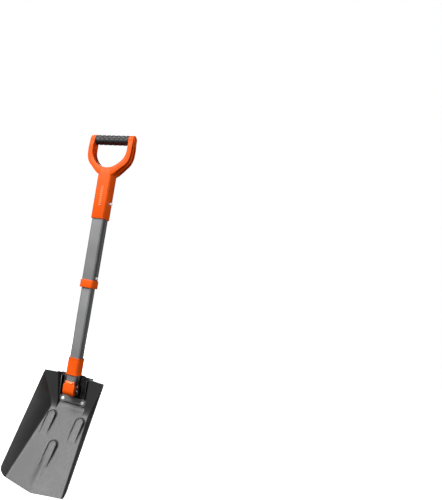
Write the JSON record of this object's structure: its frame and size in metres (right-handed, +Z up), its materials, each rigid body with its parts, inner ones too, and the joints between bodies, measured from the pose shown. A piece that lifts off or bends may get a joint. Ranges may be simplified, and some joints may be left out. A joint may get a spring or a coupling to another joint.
{
  "type": "snow shovel",
  "caption": "Compact folding snow shovel with a D-grip, a telescoping square shaft and a hinged, flared metal scoop that folds against the shaft.",
  "frame": {"origin": "centre of the grip bar, where the hand holds the shovel", "axes": "+Z up along the shaft, +X to the right seen from the scoop's open side, -Y towards the open side"},
  "size_m": [0.1818, 0.1425, 0.8511],
  "materials": {
    "orange_plastic": "moulded, light satin",
    "grip_rubber": "matte, moulded pads",
    "grey_tube": "satin grey coat",
    "grey_sheet": "satin grey coat",
    "grey_plate": "satin grey",
    "plated_steel": "bright plated",
    "spring_steel": "dull",
    "bare_tube": "mill",
    "black_plastic": "matte"
  },
  "bodies": {
    "handle": {"d_grip_frame": "orange_plastic", "grip_core": "bare_tube", "grip_sleeve": "grip_rubber", "grip_end_plugs": "orange_plastic"},
    "handle_button": {"handle_button": "plated_steel"},
    "upper_shaft": {"upper_tube": "grey_tube", "handle_button_spring": "spring_steel", "tube_collar": "orange_plastic"},
    "shaft_button": {"shaft_button": "plated_steel"},
    "lower_shaft": {"lower_tube": "grey_tube", "guide_bush": "black_plastic", "shaft_button_spring": "spring_steel", "hinge_knuckle": "orange_plastic", "spring_seat": "black_plastic"},
    "lock": {"lock_sleeve": "orange_plastic", "lock_cross_pin": "plated_steel", "latch_bar": "spring_steel", "lock_spring": "spring_steel"},
    "scoop": {"hinge_bracket": "grey_plate", "clamp_plate": "grey_plate", "hinge_pin": "plated_steel", "bracket_rivets": "plated_steel", "blade": "grey_sheet"}
  },
  "joints": [
    {"name": "shaft_pull_out", "type": "slide", "parent": "handle", "child": "upper_shaft", "axis": [0, 0, -1], "range_m": [0, 0.09]},
    {"name": "telescope", "type": "slide", "parent": "upper_shaft", "child": "lower_shaft", "axis": [0, 0, 1], "range_m": [0, 0.145]},
    {"name": "scoop_fold", "type": "hinge", "parent": "lower_shaft", "child": "scoop", "pos_m": [0, 0, -0.6125], "axis": [-1, 0, 0], "range_deg": [0, 144]},
    {"name": "lock_lift", "type": "slide", "parent": "lower_shaft", "child": "lock", "axis": [0, 0, 1], "range_m": [0, 0.008], "stiffness_N_per_m": 600, "springref_m": -0.01, "deforming": ["lock_spring"]},
    {"name": "handle_button_press", "type": "slide", "parent": "handle", "child": "handle_button", "axis": [1, 0, 0], "range_m": [-0.004, 0], "stiffness_N_per_m": 800, "springref_m": 0.003},
    {"name": "shaft_button_press", "type": "slide", "parent": "upper_shaft", "child": "shaft_button", "axis": [1, 0, 0], "range_m": [-0.004, 0], "stiffness_N_per_m": 800, "springref_m": 0.003}
  ]
}
